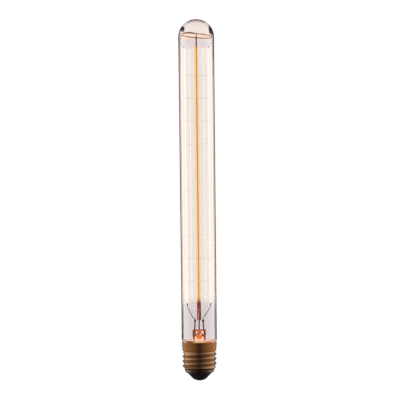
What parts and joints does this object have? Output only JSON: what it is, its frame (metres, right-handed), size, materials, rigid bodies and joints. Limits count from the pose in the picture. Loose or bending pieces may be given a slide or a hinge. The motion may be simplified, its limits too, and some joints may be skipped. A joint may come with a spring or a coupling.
{
  "type": "filament bulb",
  "caption": "Long tubular clear-glass filament lamp on a brass screw cap, its warm filament hung as an upright cage of fine wire round a glass rod on the stem.",
  "frame": {"origin": "Middle of the solder face on the centre contact, the lowest point of the lamp", "axes": "+Z along the lamp from the contact to the dome; -Y towards the viewer, where the cage is open; +X to the viewer's right"},
  "size_m": [0.0278, 0.0278, 0.28],
  "materials": {
    "glass": "clear blown glass, polished",
    "stem_glass": "clear fused glass, polished",
    "rod_glass": "amber glass rod, polished",
    "aged_brass": "dark antique brass, satin",
    "contact_brass": "plain brass, satin",
    "insulator": "black insulating glass, glossy",
    "solder": "tin solder, satin",
    "cement": "baked basing cement, matt",
    "post_metal": "heat-tinted nickel, satin",
    "hoop_metal": "heat-tinted nickel, satin",
    "support_metal": "drawn molybdenum wire",
    "lead_metal": "drawn nickel wire",
    "seal_copper": "copper-sheathed seal wire",
    "outer_lead": "tinned copper wire",
    "filament": "coiled tungsten, glowing warm when lit"
  },
  "bodies": {
    "root": {"cap_shell": "aged_brass", "cap_insulator": "insulator", "contact_plate": "contact_brass", "contact_solder": "solder", "side_solder": "solder", "basing_cement": "cement", "glass_envelope": "glass", "stem_flare": "stem_glass", "stem_press": "stem_glass", "exhaust_tube": "stem_glass", "centre_post": "post_metal", "centre_rod": "rod_glass", "centring_hoop": "hoop_metal", "top_anchors": "support_metal", "support_wires_01": "support_metal", "support_wires_02": "support_metal", "support_wires_03": "support_metal", "support_wires_04": "support_metal", "support_wires_05": "support_metal", "support_wires_06": "support_metal", "support_wires_07": "support_metal", "support_wires_08": "support_metal", "support_wires_09": "support_metal", "support_wires_10": "support_metal", "bottom_anchors": "support_metal", "filament": "filament", "lead_post_left": "post_metal", "lead_post_right": "post_metal", "lead_joint_left": "post_metal", "lead_joint_right": "post_metal", "lead_wire_left": "lead_metal", "lead_wire_right": "lead_metal", "seal_wire_left": "seal_copper", "seal_wire_right": "seal_copper", "outer_lead_side": "outer_lead", "outer_lead_centre": "outer_lead", "fuse_wire": "outer_lead", "contact_lead": "outer_lead"}
  },
  "joints": []
}
